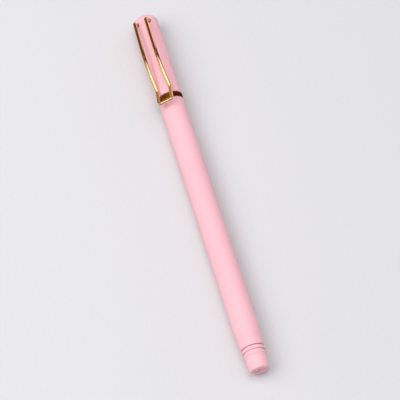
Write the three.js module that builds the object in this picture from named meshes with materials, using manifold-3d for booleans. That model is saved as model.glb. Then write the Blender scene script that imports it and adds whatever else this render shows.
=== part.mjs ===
// A capped gel pen with a bent-wire clip, lying on its side with the clip turned up and to the left.
// Millimetres. The pen's axis runs along +Y from the tail to the crown of the cap, and +Z is up.
// The origin is the bottom centre of the whole object's bounding box.

import * as THREE from "three";
import { mergeVertices } from "three/addons/utils/BufferGeometryUtils.js";
import Module from "manifold-3d";

const wasm = await Module();
wasm.setup();

// ---- Driving dimensions. Every y is measured along the axis from the tail's end face. ----

const PEN_LENGTH = 150;
const BODY_R = 4.75; // outside of the barrel and of the cap
const GAP = 0.1; // between two pieces that touch
const SHELL_SIDES = 32; // facets round the outer pieces
const INNER_SIDES = 20; // facets round the refill and the small inner pieces

const BARREL_TAIL_Y = 8.87;
const BARREL_MOUTH_Y = 111.9;
const BARREL_BORE_R = 3.9;
const TAIL_BORE_R = 3.3;

const BAND_FROM_Y = BARREL_MOUTH_Y + GAP;
const BAND_TO_Y = 114.2;
const CAP_MOUTH_Y = BAND_TO_Y + 0.15;
const CAP_BORE_R = 4.1;
const CAP_ROOF = 2; // thickness of the cap's closed end
const CROWN_FILLET = 3;

const THREAD = { from: 105.4, to: 111.2, pitch: 1.5, rootR: 3.3, depth: 0.35, play: 0.14, rings: 5 };

const REFILL_R = 2.6;
const REFILL_BORE_R = 1.9;
const REFILL_TAIL_Y = 13;
const TUBE_FRONT_Y = 126;
const SECTION_BORE_R = REFILL_R + 0.15;

const SECTION_TAIL_Y = 104.2;
const SECTION_SHOULDER_Y = BAND_TO_Y + GAP;
const SECTION_FRONT_Y = 133.2;
const NOSE_FRONT_Y = 139.9;

const BALL_R = 0.35;
const BALL_Y = 142.2;

const WIRE_R = 0.65;
const WIRE_SIDES = 10;
const CLIP_TURN = THREE.MathUtils.degToRad(23); // clip, from straight up towards -X
const CLIP_HALF_TOP = 2.38; // from the pen's middle plane to each leg's centre line, at the holes
const CLIP_HALF_WIDTH = 2.66; // the same, from the waist to the lifted end
const CLIP_HOLE_R = WIRE_R + 0.3;
const CLIP_FOOT_OUT = 2.6; // where the bent-in ends of the wire stop, out from the axis
const CLIP_TOP_Y = 146.4;

// ---- Materials ----

const look = (color, roughness, metalness = 0) =>
  new THREE.MeshStandardMaterial({ color, roughness, metalness });

const PINK = look("#f6c0cb", 0.55);
const GOLD = look("#c9a046", 0.18, 1);
const CLEAR = look("#e9eef0", 0.25);
const MILKY = look("#f1ece8", 0.4);
const INK = look("#15151c", 0.2);
const GREASE = look("#e8dfb8", 0.3);
const STEEL = look("#c3c6c9", 0.25, 1);
const CARBIDE = look("#77797d", 0.15, 1);
const RUBBER = look("#d9d6d2", 0.8);

// ---- Shape helpers ----

// A solid of revolution about the Y axis. The outline is a list of [radius, y] points that goes up
// the outside and comes down the inside; one that doesn't touch the axis is closed on itself.
function turned(outline, sides = SHELL_SIDES) {
  const points = outline.map(([r, y]) => new THREE.Vector2(r, y));
  const [first, last] = [points[0], points.at(-1)];
  if (first.x > 0 || last.x > 0) points.push(first.clone());
  return new THREE.LatheGeometry(points, sides);
}

// A quarter round as [radius, y] points about a centre, from one angle to another in degrees,
// where 0 points away from the axis and 90 points up it.
function roundEdge(centreR, centreY, radius, fromDeg, toDeg, steps = 4) {
  return Array.from({ length: steps + 1 }, (_, i) => {
    const a = THREE.MathUtils.degToRad(fromDeg + ((toDeg - fromDeg) * i) / steps);
    return [centreR + radius * Math.cos(a), centreY + radius * Math.sin(a)];
  });
}

// Points of a smooth change of radius between two heights, without its two ends' slopes.
function eased(fromR, fromY, toR, toY, steps = 4) {
  return Array.from({ length: steps + 1 }, (_, i) => {
    const t = i / steps;
    const ease = (1 - Math.cos(Math.PI * t)) / 2;
    return [fromR + (toR - fromR) * ease, fromY + (toY - fromY) * t];
  });
}

// The rings of points that a thread needs, at one radius, upwards.
function threadRings(radius) {
  const count = Math.round(((THREAD.to - THREAD.from) / THREAD.pitch) * THREAD.rings);
  return Array.from({ length: count + 1 }, (_, i) => [
    radius,
    THREAD.from + ((THREAD.to - THREAD.from) * i) / count,
  ]);
}

// Moves the rings at one radius in or out into a right-hand rounded thread, which runs out at
// both ends. The change at each point comes from profile(w), where w is 1 on the crest's helix.
function cutThread(geometry, radius, profile) {
  const at = geometry.getAttribute("position");
  const runOut = THREAD.pitch / 2;
  for (let i = 0; i < at.count; i += 1) {
    const [x, y, z] = [at.getX(i), at.getY(i), at.getZ(i)];
    const r = Math.hypot(x, z);
    if (Math.abs(r - radius) > 1e-4 || y < THREAD.from || y > THREAD.to) continue;
    const turn = y / THREAD.pitch - Math.atan2(x, z) / (2 * Math.PI);
    const wave = 0.5 + 0.5 * Math.cos(2 * Math.PI * turn);
    const toEnd = Math.min(y - THREAD.from, THREAD.to - y);
    const scale = (r + profile(wave) * Math.min(1, toEnd / runOut)) / r;
    at.setXYZ(i, x * scale, y, z * scale);
  }
  return geometry;
}

function solidOf(geometry) {
  const bare = geometry.clone();
  bare.deleteAttribute("normal");
  bare.deleteAttribute("uv");
  const merged = mergeVertices(bare, 1e-4);
  return new wasm.Manifold(
    new wasm.Mesh({
      numProp: 3,
      vertProperties: new Float32Array(merged.getAttribute("position").array),
      triVerts: new Uint32Array(merged.index.array),
    }),
  );
}

function geometryOf(solid) {
  const mesh = solid.getMesh();
  return new THREE.BufferGeometry()
    .setAttribute("position", new THREE.BufferAttribute(mesh.vertProperties, 3))
    .setIndex(new THREE.BufferAttribute(mesh.triVerts, 1));
}

// One geometry with the others cut out of it.
function cut(body, ...tools) {
  return geometryOf(tools.reduce((left, tool) => left.subtract(solidOf(tool)), solidOf(body)));
}

// The two round holes that take the clip's bent-in ends, from one distance off the axis to another.
function clipHoles(fromOut, toOut) {
  return [-1, 1].map((side) =>
    new THREE.CylinderGeometry(CLIP_HOLE_R, CLIP_HOLE_R, toOut - fromOut, 16)
      .rotateX(Math.PI / 2)
      .translate(side * CLIP_HALF_TOP, CLIP_TOP_Y, (fromOut + toOut) / 2),
  );
}

// ---- Barrel ----

// The long tube. Its tail draws in to the plug, and its mouth has the thread for the grip section.
function barrelTube() {
  const threadR = THREAD.rootR + THREAD.depth + THREAD.play;
  const tube = turned([
    [4.2, BARREL_TAIL_Y],
    [4.3, BARREL_TAIL_Y + 0.1],
    ...eased(4.36, 11.2, BODY_R, 14.2, 3),
    [BODY_R, BARREL_MOUTH_Y - 0.15],
    [BODY_R - 0.12, BARREL_MOUTH_Y],
    [threadR + 0.1, BARREL_MOUTH_Y],
    ...threadRings(threadR).reverse(),
    [BARREL_BORE_R, THREAD.from - 0.4],
    [BARREL_BORE_R, 16],
    [TAIL_BORE_R, 15],
    [TAIL_BORE_R, BARREL_TAIL_Y],
  ]);
  return cutThread(tube, threadR, (wave) => -THREAD.depth * (1 - wave));
}

// The metal ring that is clamped between the barrel's mouth and the grip section's shoulder.
function centreBand() {
  const edge = 0.15;
  return turned([
    [BODY_R - edge, BAND_FROM_Y],
    [BODY_R - 0.03, BAND_FROM_Y + edge],
    [BODY_R - 0.03, BAND_TO_Y - edge],
    [BODY_R - edge, BAND_TO_Y],
    [3.8, BAND_TO_Y],
    [3.8, BAND_FROM_Y],
  ]);
}

// The plug that closes the tail: a dished end with an air hole, a stub that the cap fits over, a
// sloping shoulder, a neck for the ring, and a spigot in the barrel with a socket for the refill.
function tailPlug() {
  const endR = 3.7;
  const endRound = 1;
  return turned([
    ...roundEdge(endR - endRound, endRound, endRound, -90, 0),
    [3.8, 5.45],
    [4.06, 5.72],
    [4.1, 6.66],
    [3.7, 6.74],
    [3.7, BARREL_TAIL_Y - GAP],
    [TAIL_BORE_R - GAP, BARREL_TAIL_Y - GAP],
    [TAIL_BORE_R - GAP, 14],
    [SECTION_BORE_R, 14],
    [SECTION_BORE_R, 11.9],
    [2.3, 11.9],
    [2.3, 1.8],
    [0.5, 1.8],
    [0.5, 0.42],
    [2.1, 0.38],
    [2.2, 0],
  ]);
}

// The narrow ring on the plug's neck, with a fine groove on each side.
function tailRing() {
  return turned([
    [4.1, 7.27],
    [4.2, 7.39],
    [4.24, 8.2],
    [4.14, 8.32],
    [3.8, 8.32],
    [3.8, 7.27],
  ]);
}

// ---- Grip section ----

// The part that the fingers hold. Its threaded spigot screws into the barrel through the band.
function gripSection() {
  const part = turned([
    [3.2, SECTION_TAIL_Y],
    [THREAD.rootR, SECTION_TAIL_Y + 0.4],
    ...threadRings(THREAD.rootR),
    [3.45, THREAD.to + 0.3],
    [3.45, SECTION_SHOULDER_Y],
    [3.98, SECTION_SHOULDER_Y],
    [3.98, 115.9],
    [3.6, 115.9],
    [3.6, 116.9],
    [3.85, 116.9],
    ...eased(3.85, 120, 3.3, 127, 5),
    [3.15, SECTION_FRONT_Y],
    [SECTION_BORE_R, SECTION_FRONT_Y],
    [SECTION_BORE_R, SECTION_TAIL_Y],
  ]);
  return cutThread(part, THREAD.rootR, (wave) => THREAD.depth * wave);
}

// The rubber ring in the section's groove that grips the inside of the cap.
function gripRing() {
  return new THREE.TorusGeometry(3.83, 0.19, 6, SHELL_SIDES).rotateX(Math.PI / 2).translate(0, 116.4, 0);
}

// The metal cone in front of the grip, with a spigot in the section's bore.
function noseCone() {
  return turned(
    [
      [SECTION_BORE_R - GAP, 129.6],
      [SECTION_BORE_R - GAP, SECTION_FRONT_Y + GAP],
      [3.1, SECTION_FRONT_Y + GAP],
      [3.05, 133.9],
      [2.62, 135.6],
      [2.1, 137.4],
      [1.62, 139.2],
      [1.4, NOSE_FRONT_Y],
      [1.28, NOSE_FRONT_Y],
      [1.28, 138],
      [1.5, 134.6],
      [1.9, 133.4],
      [1.9, 129.6],
    ],
    24,
  );
}

// ---- Refill ----

function inkTube() {
  return turned(
    [
      [REFILL_R, REFILL_TAIL_Y],
      [REFILL_R, TUBE_FRONT_Y],
      [REFILL_BORE_R, TUBE_FRONT_Y],
      [REFILL_BORE_R, REFILL_TAIL_Y],
    ],
    INNER_SIDES,
  );
}

// A plain round plug inside the tube: the ink and the grease behind it.
function filling(fromY, toY) {
  const r = REFILL_BORE_R - GAP;
  return turned([[0, fromY], [r, fromY], [r, toY], [0, toY]], INNER_SIDES);
}

// The vented stopper in the tube's tail.
function tubeEndPlug() {
  return turned(
    [
      [REFILL_R - 0.05, REFILL_TAIL_Y - 0.7],
      [REFILL_R - 0.05, REFILL_TAIL_Y - GAP],
      [REFILL_BORE_R - GAP, REFILL_TAIL_Y - GAP],
      [REFILL_BORE_R - GAP, REFILL_TAIL_Y + 4],
      [0.4, REFILL_TAIL_Y + 4],
      [0.4, REFILL_TAIL_Y - 0.7],
    ],
    INNER_SIDES,
  );
}

// The plastic nose of the refill, which joins the tube to the metal tip.
function tipHolder() {
  return turned(
    [
      [REFILL_BORE_R - GAP, 122],
      [REFILL_BORE_R - GAP, TUBE_FRONT_Y + GAP],
      [2.5, TUBE_FRONT_Y + GAP],
      [2.5, 127.6],
      [1.75, 128.8],
      [1.72, 132.8],
      [1.3, 134],
      [1.3, 136],
      [1, 136],
      [1, 131.8],
      [0.7, 131.8],
      [0.7, 122],
    ],
    INNER_SIDES,
  );
}

// The metal writing tip: a shank, a cone, and a lip that keeps the ball in.
function writingTip() {
  return turned(
    [
      [0.9, 132],
      [0.9, 136.1],
      [1.15, 136.1],
      [1.15, 139.9],
      [0.44, BALL_Y + 0.05],
      [0.37, BALL_Y + 0.15],
      [0.34, BALL_Y + 0.15],
      [0.38, BALL_Y],
      [0.38, BALL_Y - 0.4],
      [0.2, BALL_Y - 0.5],
      [0.2, BALL_Y - 0.9],
      [0.55, BALL_Y - 1.3],
      [0.55, 132],
    ],
    16,
  );
}

function tipBall() {
  return new THREE.SphereGeometry(BALL_R, 14, 10).translate(0, BALL_Y, 0);
}

// A coil with a straight pin, which presses on the back of the ball.
class TipSpringPath extends THREE.Curve {
  getPoint(t, target = new THREE.Vector3()) {
    const turns = 6;
    const coilShare = 0.9;
    const [fromY, toY, pinY] = [133, 140.5, BALL_Y - BALL_R - 0.1];
    const meanR = 0.4;
    if (t <= coilShare) {
      const along = t / coilShare;
      const angle = 2 * Math.PI * turns * along;
      return target.set(meanR * Math.sin(angle), fromY + (toY - fromY) * along, meanR * Math.cos(angle));
    }
    const along = (t - coilShare) / (1 - coilShare);
    const r = meanR * Math.max(0, 1 - 3 * along);
    return target.set(0, toY + (pinY - toY) * along, r);
  }

  getPointAt(u, target) {
    return this.getPoint(u, target);
  }
}

// A round bar swept along a path: one ring of points for each of the path's steps.
function rod(path, radius, sides, steps) {
  const section = new THREE.Shape(
    Array.from({ length: sides }, (_, i) => {
      const a = (2 * Math.PI * i) / sides;
      return new THREE.Vector2(radius * Math.cos(a), radius * Math.sin(a));
    }),
  );
  return new THREE.ExtrudeGeometry(section, { steps, extrudePath: path, bevelEnabled: false });
}

// ---- Cap, drawn with the clip straight up and then turned as a group ----

function capShell() {
  const filletR = BODY_R - CROWN_FILLET;
  const shell = turned([
    [BODY_R - 0.12, CAP_MOUTH_Y],
    [BODY_R, CAP_MOUTH_Y + 0.15],
    ...roundEdge(filletR, PEN_LENGTH - CROWN_FILLET, CROWN_FILLET, 0, 90, 5),
    [0, PEN_LENGTH],
    [0, PEN_LENGTH - CAP_ROOF],
    [CAP_BORE_R, PEN_LENGTH - CAP_ROOF],
    [CAP_BORE_R, CAP_MOUTH_Y],
    [BODY_R - 0.12, CAP_MOUTH_Y],
  ]);
  return cut(shell, ...clipHoles(CAP_BORE_R - 1.4, BODY_R + 1));
}

// The block in the crown that holds the clip's bent-in ends.
function clipAnchor() {
  const r = CAP_BORE_R - GAP;
  const block = turned([[0, 144.6], [r, 144.6], [r, PEN_LENGTH - CAP_ROOF - GAP], [0, PEN_LENGTH - CAP_ROOF - GAP]]);
  return cut(block, ...clipHoles(CLIP_FOOT_OUT - 0.4, BODY_R));
}

// The inner cap that closes round the nose cone, so that the tip doesn't dry.
function capLiner() {
  return turned(
    [
      [CAP_BORE_R - GAP, 127],
      [CAP_BORE_R - GAP, 144.4],
      [0, 144.4],
      [0, 143.9],
      [1.75, 143.9],
      [1.75, 140.6],
      [3.4, 133.6],
      [3.5, 127],
      [CAP_BORE_R - GAP, 127],
    ],
    24,
  );
}

// The soft pad in the inner cap's end, which the ball nearly touches.
function tipSeal() {
  return turned([[0, 142.75], [1.6, 142.75], [1.65, 142.9], [1.65, 143.8], [0, 143.8]], INNER_SIDES);
}

// The wire's centre line on one side, as [across, along, out] points from its end inside the cap:
// in through the wall, round the top bend, along the bowed leg to the waist that rests on the
// cap, and out again to the corner of the lifted end.
function clipHalf() {
  const [top, wide] = [CLIP_HALF_TOP, CLIP_HALF_WIDTH];
  const [topOut, waistOut, endOut] = [6.7, 4.92, 7.6];
  const [waistY, endY] = [116, 109.5];
  const bend = 0.9;
  const corner = 1;
  const points = [
    [top, CLIP_TOP_Y, CLIP_FOOT_OUT],
    [top, CLIP_TOP_Y, topOut - bend - 0.6],
  ];
  for (const [r, y] of roundEdge(0, 0, bend, 0, 90, 5)) {
    points.push([top, CLIP_TOP_Y + r - bend, topOut - bend + y]);
  }
  const bow = new THREE.CatmullRomCurve3(
    [
      new THREE.Vector3(top, CLIP_TOP_Y - bend, topOut),
      new THREE.Vector3(top + 0.05, 141, 7.12),
      new THREE.Vector3(top + 0.09, 136, 7.58),
      new THREE.Vector3(top + 0.13, 131, 7.83),
      new THREE.Vector3(top + 0.17, 127, 7.68),
      new THREE.Vector3(top + 0.2, 123, 7.12),
      new THREE.Vector3(top + 0.24, 119.5, 6.2),
      new THREE.Vector3(wide - 0.01, waistY + 1.4, waistOut + 0.45),
      new THREE.Vector3(wide, waistY, waistOut),
      new THREE.Vector3(wide, waistY - 1, waistOut + 0.25),
    ],
    false,
    "centripetal",
  );
  for (const p of bow.getSpacedPoints(26).slice(1)) points.push([p.x, p.y, p.z]);
  // The end's corner, in the plane of the lifted end.
  const slope = new THREE.Vector2(endY - waistY + 1, endOut - waistOut - 0.25).normalize();
  for (const [r, y] of roundEdge(0, 0, corner, 0, 90, 5)) {
    points.push([wide - corner + r, endY + slope.x * (y - corner), endOut + slope.y * (y - corner)]);
  }
  return points;
}

// The whole wire as one path with a point at each step.
class WirePath extends THREE.Curve {
  constructor() {
    super();
    const half = clipHalf();
    const other = half.map(([x, y, z]) => [-x, y, z]).reverse();
    this.points = [...half, ...other].map((p) => new THREE.Vector3(...p));
  }

  getPoint(t, target = new THREE.Vector3()) {
    const place = Math.min(t, 1) * (this.points.length - 1);
    const i = Math.min(Math.floor(place), this.points.length - 2);
    return target.copy(this.points[i]).lerp(this.points[i + 1], place - i);
  }

  getPointAt(u, target) {
    return this.getPoint(u, target);
  }

  getTangentAt(u, target = new THREE.Vector3()) {
    const step = 0.5 / (this.points.length - 1);
    const after = this.getPoint(Math.min(1, u + step));
    return target.copy(after).sub(this.getPoint(Math.max(0, u - step))).normalize();
  }
}

function wireClip() {
  const path = new WirePath();
  return rod(path, WIRE_R, WIRE_SIDES, path.points.length - 1);
}

// ---- Assembly ----

function piece(name, geometry, material) {
  const mesh = new THREE.Mesh(geometry, material);
  mesh.name = name;
  return mesh;
}

const barrel = new THREE.Group().add(
  piece("barrel_tube", barrelTube(), PINK),
  piece("centre_band", centreBand(), GOLD),
  piece("tail_plug", tailPlug(), PINK),
  piece("tail_ring", tailRing(), PINK),
);

const section = new THREE.Group().add(
  piece("grip_section", gripSection(), PINK),
  piece("grip_ring", gripRing(), RUBBER),
  piece("nose_cone", noseCone(), GOLD),
);

const refill = new THREE.Group().add(
  piece("ink_tube", inkTube(), CLEAR),
  piece("gel_ink", filling(34, 121.8), INK),
  piece("ink_follower", filling(26, 33.9), GREASE),
  piece("tube_end_plug", tubeEndPlug(), MILKY),
  piece("tip_holder", tipHolder(), MILKY),
  piece("writing_tip", writingTip(), STEEL),
  piece("tip_spring", rod(new TipSpringPath(), 0.07, 4, 60), STEEL),
  piece("tip_ball", tipBall(), CARBIDE),
);

const cap = new THREE.Group().add(
  piece("cap_shell", capShell(), PINK),
  piece("cap_liner", capLiner(), MILKY),
  piece("tip_seal", tipSeal(), RUBBER),
  piece("clip_anchor", clipAnchor(), MILKY),
  piece("wire_clip", wireClip(), GOLD),
);
cap.rotation.y = -CLIP_TURN;

// The pen rests on its barrel. The group is moved so that the origin is the bounding box's bottom centre.
const pen = new THREE.Group().add(barrel, section, refill, cap);
pen.updateMatrixWorld(true);
const box = new THREE.Box3().setFromObject(pen, true);
pen.position.set(-(box.min.x + box.max.x) / 2, -PEN_LENGTH / 2, BODY_R);

export default new THREE.Group().add(pen);
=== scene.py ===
"""A capped gel pen with a clip bent from one wire, lying on a pale table.

Every profile is in millimetres: r is the distance from the pen's axis and y runs along it from the
tail's end to the crown of the cap. The finished meshes are in metres, in the row's frame.
"""

import bpy
import numpy as np
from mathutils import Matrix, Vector


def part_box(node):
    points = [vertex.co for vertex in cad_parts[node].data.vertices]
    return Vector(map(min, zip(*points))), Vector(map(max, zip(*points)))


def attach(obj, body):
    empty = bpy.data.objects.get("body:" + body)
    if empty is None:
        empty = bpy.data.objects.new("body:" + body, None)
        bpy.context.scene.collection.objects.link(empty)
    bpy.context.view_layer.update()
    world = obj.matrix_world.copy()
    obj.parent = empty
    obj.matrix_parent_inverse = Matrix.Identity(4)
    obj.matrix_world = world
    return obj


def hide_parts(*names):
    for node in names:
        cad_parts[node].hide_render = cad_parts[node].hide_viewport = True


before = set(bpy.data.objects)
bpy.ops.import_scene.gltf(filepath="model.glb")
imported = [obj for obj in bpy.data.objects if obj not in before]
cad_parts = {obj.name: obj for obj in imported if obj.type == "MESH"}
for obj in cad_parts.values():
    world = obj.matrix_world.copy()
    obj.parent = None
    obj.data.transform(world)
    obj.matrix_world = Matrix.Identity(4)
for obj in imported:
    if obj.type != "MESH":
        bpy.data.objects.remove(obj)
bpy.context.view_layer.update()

MM = 0.001
ROUND = 192  # facets round the outer pieces

# The pen's own sizes, from its barrel: the axis is level, above the middle of the barrel's box.
LOW, HIGH = (np.array(corner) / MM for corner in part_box("barrel_tube"))
AXIS_X = (LOW[0] + HIGH[0]) / 2
AXIS_Z = (LOW[2] + HIGH[2]) / 2
BODY_R = (HIGH[2] - LOW[2]) / 2
TAIL_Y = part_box("tail_plug")[0][1] / MM
TAIL_END = np.array([AXIS_X, TAIL_Y, AXIS_Z])
CLIP_TURN = np.radians(23)  # the clip, from straight up towards -X


def span(name):
    """Where a CAD node starts and ends along the pen, in mm from the tail's end."""
    low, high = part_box(name)
    return round(low[1] / MM - TAIL_Y, 3), round(high[1] / MM - TAIL_Y, 3)


BARREL_TAIL_Y, BARREL_MOUTH_Y = span("barrel_tube")
RING_TAIL_Y, RING_FRONT_Y = span("tail_ring")
BAND_TAIL_Y, BAND_FRONT_Y = span("centre_band")
GRIP_TAIL_Y, GRIP_FRONT_Y = span("grip_section")
CONE_TAIL_Y, CONE_FRONT_Y = span("nose_cone")
TUBE_TAIL_Y, TUBE_FRONT_Y = span("ink_tube")
GREASE_TAIL_Y, GREASE_FRONT_Y = span("ink_follower")
INK_TAIL_Y, INK_FRONT_Y = span("gel_ink")
STOPPER_TAIL_Y, STOPPER_FRONT_Y = span("tube_end_plug")
HOLDER_TAIL_Y, HOLDER_FRONT_Y = span("tip_holder")
TIP_TAIL_Y, TIP_FRONT_Y = span("writing_tip")
BLOCK_TAIL_Y, BLOCK_FRONT_Y = span("clip_anchor")
LINER_TAIL_Y, LINER_FRONT_Y = span("cap_liner")
PAD_TAIL_Y, PAD_FRONT_Y = span("tip_seal")
CAP_MOUTH_Y, CROWN_Y = span("cap_shell")
SHARP_EDGE = np.radians(35)  # edges that turn more than this are shown sharp


# ---- Materials' helpers ----

def linear(code):
    """An sRGB hex colour as linear red, green, blue and alpha."""
    c = np.array([int(code[i:i + 2], 16) for i in (1, 3, 5)]) / 255
    c = np.where(c <= 0.04045, c / 12.92, ((c + 0.055) / 1.055) ** 2.4)
    return (*c.tolist(), 1.0)


def node(tree, kind, settings=None, **links):
    """Adds a node with its settings, and sets or links its inputs. A socket's name has _ for a space."""
    made = tree.nodes.new(kind)
    for key, value in (settings or {}).items():
        setattr(made, key, value)
    for key, value in links.items():
        socket = made.inputs[int(key[1:]) if key[0] == "i" and key[1:].isdigit() else key.replace("_", " ")]
        if isinstance(value, bpy.types.NodeSocket):
            tree.links.new(value, socket)
        else:
            socket.default_value = value
    return made


def ramp(tree, factor, *stops):
    """A colour ramp's colour output. Each stop is (position, hex colour)."""
    made = node(tree, "ShaderNodeValToRGB", i0=factor)
    while len(made.color_ramp.elements) < len(stops):
        made.color_ramp.elements.new(0.5)
    for element, (place, code) in zip(made.color_ramp.elements, stops):
        element.position, element.color = place, linear(code)
    return made.outputs[0]


def material(name):
    """A new material: (material, tree, principled shader)."""
    made = bpy.data.materials.new(name)
    made.use_nodes = True
    tree = made.node_tree
    shader = tree.nodes["Principled BSDF"]
    return made, tree, shader


def every(size):
    """The scale of a pattern whose features are this many millimetres apart, on coordinates in metres."""
    return 1 / (size * MM)


def spread(tree, low, high, factor):
    """A factor from 0 to 1 as a number from low to high."""
    return node(tree, "ShaderNodeMapRange", i0=factor, i3=low, i4=high).outputs[0]


def moulded_pink(name, light, deep, rough):
    """Injection-moulded ABS with a soft-touch lacquer: an even pastel pink with a very broad, soft
    highlight, a faint tooth, and slow changes of tone where the lacquer is thicker. The real tooth is
    some 0.05 mm apart, and is drawn coarser so that it shows."""
    made, tree, shader = material(name)
    place = node(tree, "ShaderNodeTexCoord").outputs["Object"]
    cloud = node(tree, "ShaderNodeTexNoise", Vector=place, Scale=every(16.7), Detail=2.0).outputs[0]
    tooth = node(tree, "ShaderNodeTexNoise", Vector=place, Scale=every(0.22), Detail=2.0,
                 Roughness=0.6).outputs[0]
    tree.links.new(ramp(tree, cloud, (0.3, deep), (0.7, light)), shader.inputs["Base Color"])
    tree.links.new(spread(tree, rough - 0.04, rough + 0.05, tooth), shader.inputs["Roughness"])
    bump = node(tree, "ShaderNodeBump", Strength=0.10, Distance=0.04 * MM, Height=tooth)
    tree.links.new(bump.outputs[0], shader.inputs["Normal"])
    shader.inputs["IOR"].default_value = 1.5
    shader.inputs["Sheen Weight"].default_value = 0.12
    shader.inputs["Sheen Roughness"].default_value = 0.5
    shader.inputs["Subsurface Weight"].default_value = 0.08
    shader.inputs["Subsurface Scale"].default_value = 1 * MM
    shader.inputs["Subsurface Radius"].default_value = (1.0, 0.5, 0.4)
    return made


# ---- Surfaces ----

def grid_mesh(name, points, close_u=False, close_v=False, uv=None):
    """A mesh from a grid of points[u, v] in mm: quads between neighbours, wrapped round in u or v
    if they close. Rows that shrink to one point become a single vertex with a fan of triangles."""
    rows, columns = points.shape[:2]
    index = np.arange(rows * columns).reshape(rows, columns)
    pole = np.ptp(points, axis=1).max(axis=1) < 1e-6
    index[pole] = index[pole][:, :1]
    a = index if close_u else index[:-1]
    b = np.roll(index, -1, axis=0) if close_u else index[1:]
    c, d = (np.roll(x, -1, axis=1) if close_v else x[:, 1:] for x in (a, b))
    if not close_v:
        a, b = a[:, :-1], b[:, :-1]
    quads = np.stack([a, c, d, b], axis=-1).reshape(-1, 4)
    used, new = np.unique(quads, return_inverse=True)
    quads = new.reshape(-1, 4)
    place = points.reshape(-1, 3)[used]
    low = quads[:, 0] == quads[:, 1]
    high = quads[:, 2] == quads[:, 3]
    plain, first, last = quads[~low & ~high], quads[low & ~high][:, 1:], quads[high & ~low][:, :3]
    faces = plain.tolist() + first.tolist() + last.tolist()
    mesh = bpy.data.meshes.new(name)
    mesh.from_pydata((place * MM).tolist(), [], faces)
    if uv is not None:
        layer = mesh.uv_layers.new(name="UVMap")
        corner = np.empty(len(mesh.loops), dtype=np.int32)
        mesh.loops.foreach_get("vertex_index", corner)
        layer.data.foreach_set("uv", uv.reshape(-1, 2)[used][corner].ravel())
    mesh.shade_smooth()
    mesh.set_sharp_from_angle(angle=SHARP_EDGE)
    mesh.validate()
    return mesh


def piece(name, mesh, body, surface, slot, *nodes):
    """A finished piece: rides on its CAD body, shows one material, and stands for its CAD nodes."""
    made = bpy.data.objects.new(name, mesh)
    bpy.context.scene.collection.objects.link(made)
    mesh.materials.append(surface)
    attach(made, body)
    if nodes:
        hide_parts(*nodes)
    return made


def rounded(corners, closed=True, steps=6):
    """A profile with rounded corners. Each corner is (r, y, radius): the two straight runs that meet
    there are joined by a circular arc of that radius, and each run keeps a point just past each arc,
    so that shading stays flat between them."""
    c = np.array([(*k, 0)[:3] for k in corners], dtype=float)
    p, radius = c[:, :2], c[:, 2]
    before, after = np.roll(p, 1, axis=0) - p, np.roll(p, -1, axis=0) - p
    run_in, run_out = (np.linalg.norm(v, axis=1) for v in (before, after))
    before, after = before / run_in[:, None], after / run_out[:, None]
    half = np.arccos(np.clip((before * after).sum(axis=1), -1, 1)) / 2
    if not closed:
        radius[[0, -1]] = 0
    reach = np.minimum(radius / np.tan(half), 0.49 * np.minimum(run_in, run_out))
    radius = reach * np.tan(half)
    middle = before + after
    size = np.linalg.norm(middle, axis=1)
    centre = p + middle * (radius / np.sin(half) / np.where(size > 0, size, 1))[:, None]
    start, end = p + before * reach[:, None], p + after * reach[:, None]
    sweep = np.pi - 2 * half
    t = np.linspace(0, 1, steps)[None, :, None]
    full = np.where(sweep > 1e-6, np.sin(sweep), 1)[:, None, None]
    w = sweep[:, None, None]
    arc = (centre[:, None]
           + (start - centre)[:, None] * np.sin((1 - t) * w) / full
           + (end - centre)[:, None] * np.sin(t * w) / full)
    right = np.abs(np.sin(sweep)) < 1e-6
    arc[right] = p[right][:, None]
    hold = np.minimum(0.06, 0.2 * np.minimum(run_in, run_out))[:, None]
    line = np.concatenate([(start + before * hold)[:, None], arc, (end + after * hold)[:, None]], axis=1)
    sharp = radius < 1e-6
    line[sharp] = p[sharp][:, None]
    line = line.reshape(-1, 2)
    keep = np.ones(len(line), dtype=bool)
    keep[1:] = np.linalg.norm(np.diff(line, axis=0), axis=1) > 1e-5
    return line[keep]


def filled_in(profile, longest):
    """The closed profile with extra points, evenly spaced, on each run longer than a length."""
    run = np.roll(profile, -1, axis=0) - profile
    count = np.maximum(1, np.ceil(np.linalg.norm(run, axis=1) / longest)).astype(int)
    first = np.repeat(np.arange(len(run)), count)
    share = (np.arange(count.sum()) - np.repeat(np.cumsum(count) - count, count)) / np.repeat(count, count)
    return profile[first] + run[first] * share[:, None]


def even(r, low, high, count):
    """A straight run of a profile, at one radius, as evenly spaced sharp corners."""
    return [(r, y) for y in np.linspace(low, high, count)]


def eased(r0, y0, r1, y1, count):
    """A run of a profile that changes its radius in a soft S: half a cosine wave."""
    t = np.linspace(0, 1, count)
    return list(zip(r0 + (r1 - r0) * (1 - np.cos(np.pi * t)) / 2, y0 + (y1 - y0) * t))


def lathe(profile, around=ROUND, relief=None):
    """A surface of revolution as points[u, v]: each point of the profile goes round the pen's axis in
    a circle, with the angle measured from straight up towards +X. relief(angle, y, r) is added to
    the radius."""
    angle = 2 * np.pi * np.arange(around) / around
    r, y, a = np.broadcast_arrays(profile[:, :1], profile[:, 1:], angle[None])
    if relief is not None:
        r = r + relief(a, y, r)
    return np.stack([AXIS_X + r * np.sin(a), TAIL_Y + y, AXIS_Z + r * np.cos(a)], axis=-1)


def turned(name, profile, longest=8, **shape):
    """A turned piece: its closed profile runs up the outside and down the inside."""
    return grid_mesh(name, lathe(filled_in(profile, longest), **shape), close_u=True, close_v=True)


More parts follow.
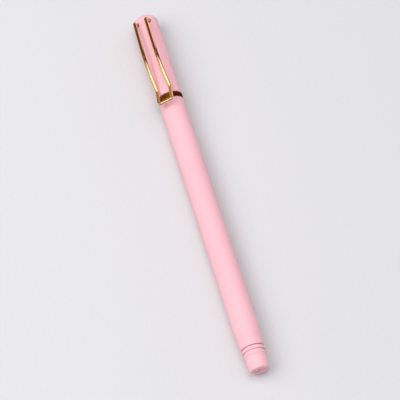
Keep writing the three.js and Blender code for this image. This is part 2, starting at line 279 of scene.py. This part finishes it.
def carried(name, path, normal, radius, around):
    """A round wire: a circle carried along a path, square to it. The circle's first direction is a
    given direction at each point, less its part along the path, and its second is square to both.
    Both ends are flat with a small chamfer."""
    length = np.concatenate([[0], np.cumsum(np.linalg.norm(np.diff(path, axis=0), axis=1))])
    tangent = np.gradient(path, length, axis=0)
    tangent /= np.linalg.norm(tangent, axis=1)[:, None]
    first = normal - (normal * tangent).sum(axis=1)[:, None] * tangent
    first /= np.linalg.norm(first, axis=1)[:, None]
    second = np.cross(tangent, first)
    a = 2 * np.pi * np.arange(around) / around
    ring = first[:, None] * np.cos(a)[None, :, None] + second[:, None] * np.sin(a)[None, :, None]
    share = np.concatenate([[0, 0.85], np.ones(len(path)), [0.85, 0]])[:, None, None]
    row = np.concatenate([[0, 0], np.arange(len(path)), [len(path) - 1] * 2])
    slide = np.zeros(len(row))
    slide[[2, -3]] = 0.15 * radius, -0.15 * radius
    points = path[row][:, None] + radius * share * ring[row] + (slide[:, None] * tangent[row])[:, None]
    uv = np.stack(np.broadcast_arrays(a[None] / (2 * np.pi), length[row][:, None] * MM), axis=-1)
    return grid_mesh(name, points, close_v=True, uv=uv)


# ---- Camera and light ----

def aimed(made, target):
    """Turns a light or camera at a point."""
    made.rotation_euler = (Vector(target) - made.location).to_track_quat("-Z", "Y").to_euler()
    bpy.context.scene.collection.objects.link(made)


VIEW_ROUND, VIEW_UP = np.radians(-16.44), np.radians(64.16)  # from straight behind the tail, and level
VIEW_DISTANCE = 0.7037
HALF_FIELD = np.radians(6)
AIM_X, AIM_Y = -0.66, 72.19  # what the camera looks at, in mm from the pen's axis and the tail's end


def camera():
    """A long lens from above and behind the tail, a little to the left."""
    lens = bpy.data.cameras.new("camera")
    lens.sensor_width = 36
    lens.lens = lens.sensor_width / 2 / np.tan(HALF_FIELD)
    lens.clip_start, lens.clip_end = 0.05, 20
    made = bpy.data.objects.new("camera", lens)
    target = np.array([AXIS_X + AIM_X, TAIL_Y + AIM_Y, 0]) * MM
    level = np.array([np.sin(VIEW_ROUND), -np.cos(VIEW_ROUND), 0]) * np.cos(VIEW_UP)
    made.location = target + VIEW_DISTANCE * (level + (0, 0, np.sin(VIEW_UP)))
    aimed(made, target)
    bpy.context.scene.camera = made


# The room's tones, as the polished pieces mirror them. The far side is +Y, beyond the crown.
ROOM_BEHIND, ROOM_ABOVE, ROOM_FAR_LOW = "#9a949e", "#cbc9ce", "#a0968e"
ROOM_FAR, ROOM_FAR_LEFT, ROOM_FAR_RIGHT, ROOM_FAR_OLIVE = "#5a3630", "#746a52", "#fff0dc", "#9ca153"
BACKDROP = "#d6d4d5"
ROOM_STRENGTH = 1.2


def softbox(name, place, width, height, watts, tint="#ffffff", mirrored=True):
    """A rectangular soft light aimed at the pen's middle, which polished pieces mirror or don't."""
    data = bpy.data.lights.new(name, "AREA")
    data.shape, data.size, data.size_y = "RECTANGLE", width, height
    data.energy, data.color = watts, linear(tint)[:3]
    made = bpy.data.objects.new(name, data)
    made.location = place
    made.visible_glossy = mirrored
    aimed(made, (0, 0, 0))


def room():
    """The light round the table, by direction, from its x and y: grey behind the camera, bright
    overhead, and a dark red-brown wall high on the far side. The wall is brown at its left end,
    bright at its right end, has an olive patch low in its middle, and is a dim warm grey at the
    bottom. The camera itself sees a plain pale grey."""
    world = bpy.data.worlds.new("room")
    bpy.context.scene.world = world
    world.use_nodes = True
    tree = world.node_tree
    place = node(tree, "ShaderNodeTexCoord").outputs["Generated"]
    x, y, _ = node(tree, "ShaderNodeSeparateXYZ", i0=place).outputs

    def rise(value, none, full):
        smooth = {"interpolation_type": "SMOOTHSTEP"}
        return node(tree, "ShaderNodeMapRange", smooth, i0=value, i1=none, i2=full).outputs[0]

    def both(one, other):
        return node(tree, "ShaderNodeMath", {"operation": "MULTIPLY"}, i0=one, i1=other).outputs[0]

    def mixed(share, one, other):
        return node(tree, "ShaderNodeMix", {"data_type": "RGBA"}, i0=share, i6=one, i7=other).outputs[2]

    left = rise(x, -0.5, -0.75)
    middle = both(rise(x, -0.7, -0.5), rise(x, 0.25, 0.05))
    olive = both(middle, both(rise(y, 0.44, 0.455), rise(y, 0.5, 0.48)))
    right = both(rise(x, 0.45, 0.75), rise(y, 0.5, 0.55))
    wall = mixed(left, linear(ROOM_FAR), linear(ROOM_FAR_LEFT))
    wall = mixed(olive, wall, linear(ROOM_FAR_OLIVE))
    wall = mixed(right, wall, linear(ROOM_FAR_RIGHT))
    colour = mixed(rise(y, -0.2, -0.45), linear(ROOM_ABOVE), linear(ROOM_BEHIND))
    colour = mixed(rise(y, 0.35, 0.43), colour, wall)
    colour = mixed(rise(y, 0.72, 0.92), colour, linear(ROOM_FAR_LOW))
    seen = node(tree, "ShaderNodeLightPath").outputs["Is Camera Ray"]
    background = tree.nodes["Background"]
    tree.links.new(mixed(seen, colour, linear(BACKDROP)), background.inputs["Color"])
    background.inputs["Strength"].default_value = ROOM_STRENGTH


TABLE_HALF = 0.9


def table():
    """A wide matt laminate top with a very fine, faint grain. The polished pieces don't mirror it, so
    their lower edges stay dark, as beside a black card."""
    made, tree, shader = material("matt_white_laminate")
    place = node(tree, "ShaderNodeTexCoord").outputs["Object"]
    grain = node(tree, "ShaderNodeTexNoise", Vector=place, Scale=every(1.1), Detail=3.0).outputs[0]
    tree.links.new(ramp(tree, grain, (0.2, "#d1d3d4"), (0.8, "#d4d6d7")), shader.inputs["Base Color"])
    shader.inputs["Roughness"].default_value = 0.6
    mesh = bpy.data.meshes.new("table_top")
    corners = TABLE_HALF * np.array([(-1, -1, 0), (1, -1, 0), (1, 1, 0), (-1, 1, 0)])
    mesh.from_pydata(corners.tolist(), [], [(0, 1, 2, 3)])
    mesh.materials.append(made)
    top = bpy.data.objects.new("table_top", mesh)
    bpy.context.scene.collection.objects.link(top)
    top.visible_glossy = False


bpy.context.scene.view_settings.view_transform = "Standard"
camera()
room()
table()
softbox("window_left", (-0.55, 0.12, 0.75), width=0.9, height=0.7, watts=4.9, tint="#fffefd",
        mirrored=False)
softbox("window_glint", (-0.6, -0.03, 0.75), width=0.35, height=0.25, watts=0.7)
softbox("ceiling", (0.05, 0.02, 1.0), width=0.7, height=0.5, watts=2.9)
softbox("skylight_right", (0.42, 0.15, 0.85), width=0.9, height=0.6, watts=0.7, tint="#fdfdff",
        mirrored=False)


# ---- Materials ----

PINK_BARREL = moulded_pink("soft_touch_pink_abs", "#f4bcc5", "#f2b8c1", 0.5)
PINK_TAIL = moulded_pink("moulded_pink_abs", "#f6bec5", "#f4bac1", 0.42)


def gold_plate(name, light, deep, rough, scratches):
    """Gold plating on polished metal: a warm mirror with a light haze, and hairline polishing marks.
    scratches is the pattern's scale along x, y and z: a small one draws the marks out that way."""
    made, tree, shader = material(name)
    place = node(tree, "ShaderNodeTexCoord").outputs["Object"]
    haze = node(tree, "ShaderNodeTexNoise", Vector=place, Scale=every(1.4), Detail=3.0).outputs[0]
    stretch = node(tree, "ShaderNodeMapping", Vector=place, Scale=scratches).outputs[0]
    hairline = node(tree, "ShaderNodeTexNoise", Vector=stretch, Scale=1.0, Detail=2.0).outputs[0]
    tree.links.new(ramp(tree, haze, (0.3, deep), (0.7, light)), shader.inputs["Base Color"])
    tree.links.new(spread(tree, rough * 0.7, rough * 1.5, hairline), shader.inputs["Roughness"])
    bump = node(tree, "ShaderNodeBump", Strength=0.05, Distance=0.01 * MM, Height=hairline)
    tree.links.new(bump.outputs[0], shader.inputs["Normal"])
    shader.inputs["Metallic"].default_value = 1.0
    return made


DRAWN_ALONG = (every(0.11), every(3.3), every(0.11))  # marks that run along the wire
TURNED_ROUND = (every(2.5), every(0.083), every(2.5))  # marks that run round a turned piece
GOLD_WIRE = gold_plate("gold_plated_drawn_wire", "#f5d09a", "#ecc084", 0.06, DRAWN_ALONG)
# The turned pieces use the wire's gold plate painted much darker. This is partly the gold's own colour and
# partly painted shade, standing in for the band's dark reflection.
GOLD_TRIM_DARKENED = gold_plate("gold_plate_darkened_as_shade", "#bf7d44", "#b3703a", 0.09, TURNED_ROUND)


def milky_polypropylene():
    """Natural polypropylene: waxy, a little translucent, with faint flow marks."""
    made, tree, shader = material("natural_polypropylene")
    place = node(tree, "ShaderNodeTexCoord").outputs["Object"]
    flow = node(tree, "ShaderNodeTexNoise", Vector=place, Scale=every(2.9), Detail=2.0,
                Distortion=1.5).outputs[0]
    tree.links.new(ramp(tree, flow, (0.3, "#e9e5df"), (0.7, "#f3f0ea")), shader.inputs["Base Color"])
    tree.links.new(spread(tree, 0.3, 0.42, flow), shader.inputs["Roughness"])
    shader.inputs["Subsurface Weight"].default_value = 0.3
    shader.inputs["Subsurface Scale"].default_value = 1 * MM
    return made


MILKY = milky_polypropylene()


def clear_polypropylene():
    """Extruded clear polypropylene: slightly hazy, with fine draw lines along the tube."""
    made, tree, shader = material("extruded_clear_polypropylene")
    place = node(tree, "ShaderNodeTexCoord").outputs["Object"]
    along = (every(0.4), every(50), every(0.4))
    stretch = node(tree, "ShaderNodeMapping", Vector=place, Scale=along).outputs[0]
    draw_line = node(tree, "ShaderNodeTexNoise", Vector=stretch, Scale=1.0, Detail=2.0).outputs[0]
    tree.links.new(ramp(tree, draw_line, (0.3, "#eef2f3"), (0.7, "#f7f9f9")), shader.inputs["Base Color"])
    tree.links.new(spread(tree, 0.08, 0.2, draw_line), shader.inputs["Roughness"])
    shader.inputs["Transmission Weight"].default_value = 0.9
    shader.inputs["IOR"].default_value = 1.49
    return made


def soft_body(name, light, deep, rough, cloudy, bumpy, inside=0.0):
    """A soft material with slow clouds of tone and a fine uneven skin, such as gel ink, silicone grease
    or cast silicone. cloudy and bumpy are the sizes of the two patterns in mm, and inside is how much
    light passes under the skin."""
    made, tree, shader = material(name)
    place = node(tree, "ShaderNodeTexCoord").outputs["Object"]
    cloud = node(tree, "ShaderNodeTexNoise", Vector=place, Scale=every(cloudy), Detail=2.0,
                 Distortion=0.6).outputs[0]
    skin = node(tree, "ShaderNodeTexNoise", Vector=place, Scale=every(bumpy), Detail=2.0).outputs[0]
    tree.links.new(ramp(tree, cloud, (0.3, deep), (0.7, light)), shader.inputs["Base Color"])
    tree.links.new(spread(tree, rough * 0.8, rough * 1.2, skin), shader.inputs["Roughness"])
    bump = node(tree, "ShaderNodeBump", Strength=0.15, Distance=0.03 * MM, Height=skin)
    tree.links.new(bump.outputs[0], shader.inputs["Normal"])
    shader.inputs["Subsurface Weight"].default_value = inside
    shader.inputs["Subsurface Scale"].default_value = 0.8 * MM
    return made


def turned_metal(name, light, deep, rough, lines):
    """Bare machined metal: fine turning lines round the pen's axis, one every lines mm along it,
    which spread each highlight along the axis."""
    made, tree, shader = material(name)
    place = node(tree, "ShaderNodeTexCoord").outputs["Object"]
    across = (every(16.7), every(lines), every(16.7))
    stretch = node(tree, "ShaderNodeMapping", Vector=place, Scale=across).outputs[0]
    line = node(tree, "ShaderNodeTexNoise", Vector=stretch, Scale=1.0, Detail=3.0).outputs[0]
    tree.links.new(ramp(tree, line, (0.3, deep), (0.7, light)), shader.inputs["Base Color"])
    tree.links.new(spread(tree, rough * 0.7, rough * 1.4, line), shader.inputs["Roughness"])
    bump = node(tree, "ShaderNodeBump", Strength=0.2, Distance=0.02 * MM, Height=line)
    tree.links.new(bump.outputs[0], shader.inputs["Normal"])
    shader.inputs["Metallic"].default_value = 1.0
    return made


CLEAR = clear_polypropylene()
GEL = soft_body("black_gel_ink", "#17171d", "#0f0f14", 0.18, 2, 0.33)
GREASE = soft_body("silicone_grease", "#eadfb4", "#dccf9e", 0.28, 1.1, 0.4, inside=0.4)
SILICONE = soft_body("cast_silicone_rubber", "#d8d4cf", "#cbc7c1", 0.7, 1.4, 0.17, inside=0.1)
STEEL = turned_metal("turned_stainless_steel", "#d0d2d5", "#b9bcc0", 0.22, 0.11)
CARBIDE = turned_metal("ground_tungsten_carbide", "#8a8c91", "#7a7c81", 0.12, 0.05)


# ---- Barrel ----

THREAD_FROM, THREAD_TO, PITCH, THREAD_DEPTH = 105.4, 111.2, 1.5, 0.35
THREAD_STEPS = 94  # rings of points along the thread, some 24 to each turn
SPIGOT_R, NUT_R = 3.3, 3.79  # the thread's root on the grip section, and its clearance in the barrel
ON_THREAD = 0.01  # how near a point lies to the radius that the thread is cut from
BORE_R, TAIL_BORE_R = 3.9, 3.3
NECK_R = 3.7  # the stub's neck, which the ring fits over


def helix(angle, y):
    """How much of a right-hand rounded thread stands at each point, from 0 at its root to 1 on its
    crest: a cosine ridge that climbs one pitch each turn."""
    return 0.5 + 0.5 * np.cos(2 * np.pi * y / PITCH - angle)


def run_out(y):
    """Fades the thread in and out over half a pitch at its two ends."""
    return np.clip(np.minimum(y - THREAD_FROM, THREAD_TO - y) / (PITCH / 2), 0, 1)


def screw_thread(angle, y, r):
    """The thread that stands out of the grip section's spigot."""
    return THREAD_DEPTH * helix(angle, y) * run_out(y) * (np.abs(r - SPIGOT_R) < ON_THREAD)


def nut_thread(angle, y, r):
    """The thread inside the barrel's mouth, which leaves room for the spigot's."""
    return -THREAD_DEPTH * (1 - helix(angle, y)) * run_out(y) * (np.abs(r - NUT_R) < ON_THREAD)


def barrel_tube():
    """The long tube: its tail draws in by a third of a millimetre in a soft S, to a crisp lip, and its
    mouth has a broken edge and the inside thread."""
    lip, mouth = BARREL_TAIL_Y, BARREL_MOUTH_Y
    return rounded([
        (TAIL_BORE_R, lip, 0.08), (4.3, lip, 0.09), *eased(4.36, 11.2, BODY_R, 14.2, 14),
        (BODY_R, mouth, 0.12), (3.89, mouth, 0.06), (NUT_R, mouth - 0.4),
        *even(NUT_R, THREAD_TO, THREAD_FROM, THREAD_STEPS),
        (BORE_R, 105), (BORE_R, 16), (TAIL_BORE_R, 15),
    ])


def tail_plug():
    """The stub: a dished end with an air hole in its middle, a rounded edge, sides that widen a
    little to a short collar, and the neck and spigot that the barrel hides."""
    stop = BARREL_TAIL_Y - 0.1
    return rounded([
        (2.2, 0, 0.08), (3.7, 0, 1.05), (3.8, 5.45, 0.06),
        (4.06, 5.72, 0.07), (4.1, 6.7, 0.07), (NECK_R, 6.76, 0.04), (NECK_R, stop),
        (3.2, stop), (3.2, 14, 0.1), (2.75, 14, 0.1), (2.75, 11.9), (2.3, 11.9), (2.3, 1.8),
        (0.5, 1.8), (0.5, 0.44, 0.1), (2.06, 0.38, 0.1),
    ])


def tail_ring():
    """The narrow ring between the two grooves, with softly broken edges."""
    low, high, bore = RING_TAIL_Y, RING_FRONT_Y, NECK_R + 0.1
    return rounded([(4.2, low, 0.1), (4.24, high, 0.1), (bore, high), (bore, low)])


def centre_band():
    """The metal ring at the cap's mouth: flat, with fine chamfers."""
    low, high, r, bore = BAND_TAIL_Y, BAND_FRONT_Y, BODY_R - 0.03, 3.8
    return rounded([(r, low, 0.14), (r, high, 0.14), (bore, high, 0.05), (bore, low, 0.05)])


piece("barrel", turned("barrel", barrel_tube(), relief=nut_thread), "barrel", PINK_BARREL, "pink_plastic",
      "barrel_tube")
piece("tail_stub", turned("tail_stub", tail_plug()), "barrel", PINK_TAIL, "pink_plastic", "tail_plug")
piece("groove_ring", turned("groove_ring", tail_ring()), "barrel", PINK_TAIL, "pink_plastic", "tail_ring")
piece("gold_band", turned("gold_band", centre_band()), "barrel", GOLD_TRIM_DARKENED, "gold_trim", "centre_band")


# ---- Grip section ----

COLLAR_R = 3.98  # the step that the cap's mouth slides over
CORD_Y, CORD_R = 116.4, 0.19  # the rubber ring's middle, and the thickness of its cord


def grip_section():
    """The part that the fingers hold: a threaded spigot, a shoulder that clamps the band, a groove for
    the rubber ring, and a grip that narrows in a soft S towards the nose."""
    shoulder, bore = BAND_FRONT_Y + 0.1, 2.75
    return rounded([
        (bore, GRIP_TAIL_Y), (3.2, GRIP_TAIL_Y, 0.05), (SPIGOT_R, 104.6, 0.1),
        *even(SPIGOT_R, THREAD_FROM, THREAD_TO, THREAD_STEPS), (3.45, 111.6, 0.05), (3.45, shoulder, 0.04),
        (COLLAR_R, shoulder, 0.1), (COLLAR_R, CORD_Y - 0.5, 0.08), (3.6, CORD_Y - 0.5, 0.04),
        (3.6, CORD_Y + 0.5, 0.04), (3.85, CORD_Y + 0.5, 0.08), *eased(3.85, 120, 3.3, 127, 24),
        (3.15, GRIP_FRONT_Y, 0.1), (bore, GRIP_FRONT_Y, 0.04),
    ])


def rubber_ring():
    """The ring in the section's groove: a round cord, as a circle carried round the axis."""
    a = 2 * np.pi * np.arange(28) / 28
    return np.stack([3.83 + CORD_R * np.cos(a), CORD_Y + CORD_R * np.sin(a)], axis=1)


def nose_cone():
    """The metal cone in front of the grip: a short step, a long cone that steepens in two stages, a
    flat rounded lip round the tip, and the spigot inside the grip."""
    return rounded([
        (1.9, CONE_TAIL_Y), (2.65, CONE_TAIL_Y), (2.65, 133.3), (3.1, 133.3, 0.07), (3.05, 133.9, 0.3),
        (2.62, 135.6, 3.0), (2.1, 137.4, 3.0), (1.62, 139.2, 0.6), (1.42, CONE_FRONT_Y, 0.08),
        (1.28, CONE_FRONT_Y, 0.04), (1.28, 138), (1.5, 134.6), (1.9, 133.4),
    ])


piece("grip", turned("grip", grip_section(), relief=screw_thread), "section", PINK_BARREL, "pink_plastic",
      "grip_section")
piece("cap_gripping_ring", turned("cap_gripping_ring", rubber_ring()), "ring", SILICONE, "seal_rubber",
      "grip_ring")
piece("cone", turned("cone", nose_cone()), "section", GOLD_TRIM_DARKENED, "gold_trim", "nose_cone")


# ---- Refill ----

TUBE_R, TUBE_BORE_R, FILL_R = 2.6, 1.9, 1.8  # the ink tube, its bore, and what fits in the bore
HOLLOW = 0.5  # how deep the ink's back face is dished
BALL_R, BALL_Y = 0.35, sum(span("tip_ball")) / 2
SHANK_R = 0.9  # the metal tip, where the holder grips it
SPRING_TURNS, SPRING_R, SPRING_WIRE_R = 6, 0.4, 0.07
SPRING_TAIL_Y, SPRING_LENGTH, PIN_LENGTH = 133, 7.5, 1.25
SLIM = 96  # facets round the slim pieces


def ink_tube():
    """The clear tube, with cleanly cut ends."""
    low, high = TUBE_TAIL_Y, TUBE_FRONT_Y
    return rounded([
        (TUBE_BORE_R, low, 0.04), (TUBE_R, low, 0.08), (TUBE_R, high, 0.08), (TUBE_BORE_R, high, 0.04),
    ])


def gel_ink():
    """The ink: it wets the tube's wall, so its back face is hollow, as a parabola, and it fills up to
    the holder."""
    a = np.linspace(0, 1, 12)
    hollow = list(zip(FILL_R * a, INK_TAIL_Y + HOLLOW * (1 - a**2)))
    return rounded([*hollow, (FILL_R, INK_FRONT_Y), (0, INK_FRONT_Y)])


def grease_follower():
    """The plug of grease behind the ink: its front face stands into the ink's hollow, and its back
    face is a shallow dish. Both are parabolas."""
    a = np.linspace(0, 1, 12)
    back = list(zip(FILL_R * a, GREASE_TAIL_Y + 0.4 * (1 - a**2)))
    front = list(zip(FILL_R * a, GREASE_FRONT_Y + HOLLOW * (1 - a**2)))
    return rounded([*back, *front[::-1]])


def end_stopper():
    """The vented stopper in the tube's tail: a thin flange, and a plug with a hole through it."""
    low, high, vent = STOPPER_TAIL_Y, STOPPER_FRONT_Y, 0.4
    flange = TUBE_TAIL_Y - 0.1
    return rounded([
        (vent, low, 0.05), (2.55, low, 0.1), (2.55, flange, 0.05),
        (FILL_R, flange), (FILL_R, high, 0.12), (vent, high, 0.05),
    ])


def tip_holder():
    """The plastic nose of the refill: a plug in the tube, a collar, a sloping shoulder, a long slim
    neck, and a thinner end that holds the metal tip."""
    low, high = HOLDER_TAIL_Y, HOLDER_FRONT_Y
    collar, socket, channel = TUBE_FRONT_Y + 0.1, SHANK_R + 0.1, 0.7
    return rounded([
        (channel, low), (FILL_R, low, 0.15), (FILL_R, collar), (2.5, collar, 0.08), (2.5, 127.6, 0.25),
        (1.75, 128.8, 0.3), (1.72, 132.8, 0.2), (1.3, 134, 0.2), (1.3, high, 0.12), (socket, high),
        (socket, 131.8), (channel, 131.8),
    ])


def writing_tip():
    """The metal tip: a shank, a collar, a long slim cone, and a thin lip rolled in over the ball."""
    seat, channel, passage = BALL_R + 0.03, 0.55, 0.2
    return rounded([
        (channel, TIP_TAIL_Y), (SHANK_R, TIP_TAIL_Y, 0.05), (SHANK_R, 136.1), (1.15, 136.1, 0.08),
        (1.15, CONE_FRONT_Y, 0.25), (0.46, BALL_Y + 0.02, 0.1), (0.37, TIP_FRONT_Y, 0.03),
        (0.34, TIP_FRONT_Y), (seat, BALL_Y), (seat, BALL_Y - 0.4),
        (passage, BALL_Y - 0.5), (passage, BALL_Y - 0.9), (channel, BALL_Y - 1.3),
    ])


def ball():
    """The ball: a half circle turned about the axis, with both its ends exactly on the axis."""
    a = np.linspace(-np.pi / 2, np.pi / 2, 33)
    r = BALL_R * np.cos(a)
    r[[0, -1]] = 0
    return np.stack([r, BALL_Y + BALL_R * np.sin(a)], axis=1)


def tip_spring():
    """The coil behind the ball: even turns of fine wire, and then a pin that bends in to the axis
    and runs up it. Returns the path and, at each point, the direction away from the axis."""
    t = np.linspace(0, 1, 361)[:, None]
    turn = 2 * np.pi * SPRING_TURNS * t
    up, along = np.array([0.0, 0.0, 1.0]), np.array([0.0, 1.0, 0.0])
    away = np.hstack([np.sin(turn), 0 * t, np.cos(turn)])
    coil = SPRING_R * away + along * (SPRING_TAIL_Y + SPRING_LENGTH * t)
    u = np.linspace(0, 1, 25)[1:, None]
    bend_in = 1 - np.clip(3 * u, 0, 1)
    pin = SPRING_R * bend_in * up + along * (SPRING_TAIL_Y + SPRING_LENGTH + PIN_LENGTH * u)
    path = TAIL_END + np.concatenate([coil, pin])
    return path, np.concatenate([away, np.tile(up, (len(pin), 1))])


piece("refill_tube", turned("refill_tube", ink_tube(), around=SLIM), "refill", CLEAR, "clear_plastic",
      "ink_tube")
piece("ink", turned("ink", gel_ink(), around=SLIM), "refill", GEL, "ink", "gel_ink")
piece("follower", turned("follower", grease_follower(), around=SLIM), "refill", GREASE, "grease",
      "ink_follower")
piece("stopper", turned("stopper", end_stopper(), around=SLIM), "refill", MILKY, "milky_plastic",
      "tube_end_plug")
piece("holder", turned("holder", tip_holder(), around=SLIM), "refill", MILKY, "milky_plastic", "tip_holder")
piece("metal_tip", turned("metal_tip", writing_tip(), around=SLIM), "refill", STEEL, "steel", "writing_tip")
piece("spring", carried("spring", *tip_spring(), SPRING_WIRE_R, 12), "refill", STEEL, "steel", "tip_spring")
piece("ball_point", turned("ball_point", ball(), around=64), "ball", CARBIDE, "carbide", "tip_ball")


# ---- Cap ----

WIRE_R = 0.65  # the clip's wire
HOLE_Y, HOLE_ACROSS = 146.4, 2.38  # each hole, along the pen and out from the clip's middle plane
HOLE_R = WIRE_R + 0.3  # leaves the wire room to turn in when the clip springs away
CAP_BORE_R, CAP_ROOF = 4.1, 2  # the cap's bore, and how thick its crown is
ACROSS = np.array([np.cos(CLIP_TURN), 0, np.sin(CLIP_TURN)])
OUTWARD = np.array([-np.sin(CLIP_TURN), 0, np.cos(CLIP_TURN)])


def wire_hole(side):
    """What a drill would cut for one end of the wire: a straight round bar along the way the wire
    points, from inside the holding block to beyond the cap's wall."""
    start, end = 2.3, 6
    out = np.linspace(start, end, 8)[:, None]
    path = TAIL_END + HOLE_Y * np.array([0, 1, 0]) + side * HOLE_ACROSS * ACROSS + out * OUTWARD
    return carried("drill", path, np.tile(ACROSS, (len(path), 1)), HOLE_R, 64)


def drilled(mesh):
    """The mesh with the wire's two holes cut in it."""
    blank = bpy.data.objects.new("blank", mesh)
    drills = [bpy.data.objects.new("drill", wire_hole(side)) for side in (-1, 1)]
    for made in (blank, *drills):
        bpy.context.scene.collection.objects.link(made)
    for drill in drills:
        cut = blank.modifiers.new("hole", "BOOLEAN")
        cut.operation, cut.solver, cut.object = "DIFFERENCE", "EXACT", drill
    done = bpy.data.meshes.new_from_object(blank.evaluated_get(bpy.context.evaluated_depsgraph_get()))
    for made in (blank, *drills):
        bpy.data.objects.remove(made)
    done.shade_smooth()
    done.set_sharp_from_angle(angle=SHARP_EDGE)
    return done


def cap_shell():
    """A plain tube with a closed end: a broken edge at the mouth, and a large round shoulder that
    turns in to a small flat crown."""
    roof = CROWN_Y - CAP_ROOF
    return rounded([
        (CAP_BORE_R, CAP_MOUTH_Y, 0.1), (BODY_R, CAP_MOUTH_Y, 0.14), (BODY_R, CROWN_Y, 3), (0, CROWN_Y),
        (0, roof), (CAP_BORE_R, roof, 0.4),
    ], steps=16)


def clip_block():
    """The block in the crown that holds the wire's ends."""
    low, high, r = BLOCK_TAIL_Y, BLOCK_FRONT_Y, CAP_BORE_R - 0.1
    return rounded([(0, low), (r, low, 0.2), (r, high, 0.4), (0, high)])


def inner_cap():
    """The inner cap: a tapered mouth that guides the nose in, a cone that matches it, and a small room
    round the tip."""
    low, high, r = LINER_TAIL_Y, LINER_FRONT_Y, CAP_BORE_R - 0.1
    end = PAD_FRONT_Y + 0.1
    return rounded([
        (0, high), (0, end), (1.75, end, 0.1), (1.75, 140.6, 0.3), (3.4, 133.6, 0.6),
        (3.5, low, 0.15), (r, low, 0.15), (r, high, 0.1),
    ])


def tip_seal():
    """The soft pad in the inner cap's end, with rounded edges."""
    low, high = PAD_TAIL_Y, PAD_FRONT_Y
    return rounded([(0, low), (1.6, low, 0.12), (1.65, high, 0.1), (0, high)])


piece("cap", drilled(turned("cap", cap_shell(), longest=4)), "cap", PINK_BARREL, "pink_plastic",
      "cap_shell")
piece("clip_holding_block", drilled(turned("clip_holding_block", clip_block(), longest=1)), "cap", MILKY,
      "milky_plastic", "clip_anchor")
piece("liner", turned("liner", inner_cap()), "cap", MILKY, "milky_plastic", "cap_liner")
piece("pad", turned("pad", tip_seal(), around=SLIM), "cap", SILICONE, "seal_rubber", "tip_seal")


# ---- Clip ----

WAIST_ACROSS = 2.66  # from the middle plane to each leg's centre line, from the waist on
TOP_OUT = 6.7  # how far out from the axis the legs start
FOOT_OUT = 2.6  # where the bent-in ends stop
TOP_BEND, END_BEND = 0.9, 1.0  # radii of the wire's centre line at its bends
LIFTED_END = (109.5, 7.6)  # along the pen and out from its axis


def clip_side():
    """The wire's centre line on one side as (across, y, out) points: from its end inside the cap, out,
    round the top bend, down the bowed leg to the waist, and out to the lifted end's corner. The leg
    is a smooth curve through a few points, each pair joined by a cubic with the slopes that its
    neighbours give, and the two bends are quarter circles. Also returns the direction of travel
    within the middle plane, which stays at the lifted end's slope round the corner and the bar."""
    knots = np.array([
        (HOLE_ACROSS, HOLE_Y - TOP_BEND, TOP_OUT), (2.43, 141, 7.12), (2.47, 136, 7.58), (2.51, 131, 7.83),
        (2.55, 127, 7.68), (2.58, 123, 7.12), (2.62, 119.5, 6.2), (2.65, 117.4, 5.42),
        (WAIST_ACROSS, 116, 4.94), (WAIST_ACROSS, 115, 5.2),
    ])
    step = np.concatenate([[0], np.cumsum(np.linalg.norm(np.diff(knots, axis=0), axis=1) ** 0.5)])
    slope = np.gradient(knots, step, axis=0)
    slope[0] = (0, -np.linalg.norm(slope[0]), 0.02)
    t = np.linspace(0, step[-1], 220)
    i = np.clip(np.searchsorted(step, t, side="right") - 1, 0, len(step) - 2)
    h = (step[i + 1] - step[i])[:, None]
    u = ((t - step[i]) / h[:, 0])[:, None]
    leg = ((2 * u**3 - 3 * u**2 + 1) * knots[i] + (u**3 - 2 * u**2 + u) * h * slope[i]
           + (3 * u**2 - 2 * u**3) * knots[i + 1] + (u**3 - u**2) * h * slope[i + 1])
    a = np.linspace(0, np.pi / 2, 24)[:, None]
    bend_out = TOP_OUT - TOP_BEND
    foot_out = np.linspace(FOOT_OUT, bend_out - 0.02, 12)[:, None]  # stops just short of the bend
    foot = np.array([HOLE_ACROSS, HOLE_Y, 0]) + foot_out * (0, 0, 1)
    quarter = np.hstack([0 * a, np.cos(a), np.sin(a)])
    hook = np.array([HOLE_ACROSS, HOLE_Y - TOP_BEND, bend_out]) + TOP_BEND * quarter
    end = np.array([WAIST_ACROSS, *LIFTED_END])
    lift = (end - leg[-1]) / np.linalg.norm(end - leg[-1])
    turn = end - lift * END_BEND
    straight = leg[-1] + (turn - leg[-1]) * np.linspace(0, 1, 20)[1:-1, None]
    corner = turn + END_BEND * ((np.cos(a) - 1) * (1, 0, 0) + np.sin(a) * lift)
    bar = end + np.linspace(END_BEND, WAIST_ACROSS, 8)[1:, None] * (-1, 0, 0)
    side = np.concatenate([foot, hook, leg[1:], straight, corner, bar])
    travel = np.gradient(side, axis=0) * (0, 1, 1)
    travel[-len(a) - len(bar):] = lift
    return side, travel / np.linalg.norm(travel, axis=1)[:, None]


def wire_clip():
    """The whole wire's centre line, mirrored about the middle plane, and at each point the direction
    that is square to both the clip's width and the way that the line travels."""
    side, travel = clip_side()
    line = np.concatenate([side, (side * (-1, 1, 1))[-2::-1]])
    travel = np.concatenate([travel, travel[-2::-1]])
    path = TAIL_END + line[:, :1] * ACROSS + line[:, 1:2] * (0, 1, 0) + line[:, 2:] * OUTWARD
    normal = np.cross(ACROSS, travel[:, 1:2] * (0, 1, 0) + travel[:, 2:] * OUTWARD)
    keep = np.concatenate([[True], np.linalg.norm(np.diff(path, axis=0), axis=1) > 1e-4])
    return path[keep], normal[keep]


piece("clip", carried("clip", *wire_clip(), WIRE_R, 48), "clip", GOLD_WIRE, "gold_wire", "wire_clip")
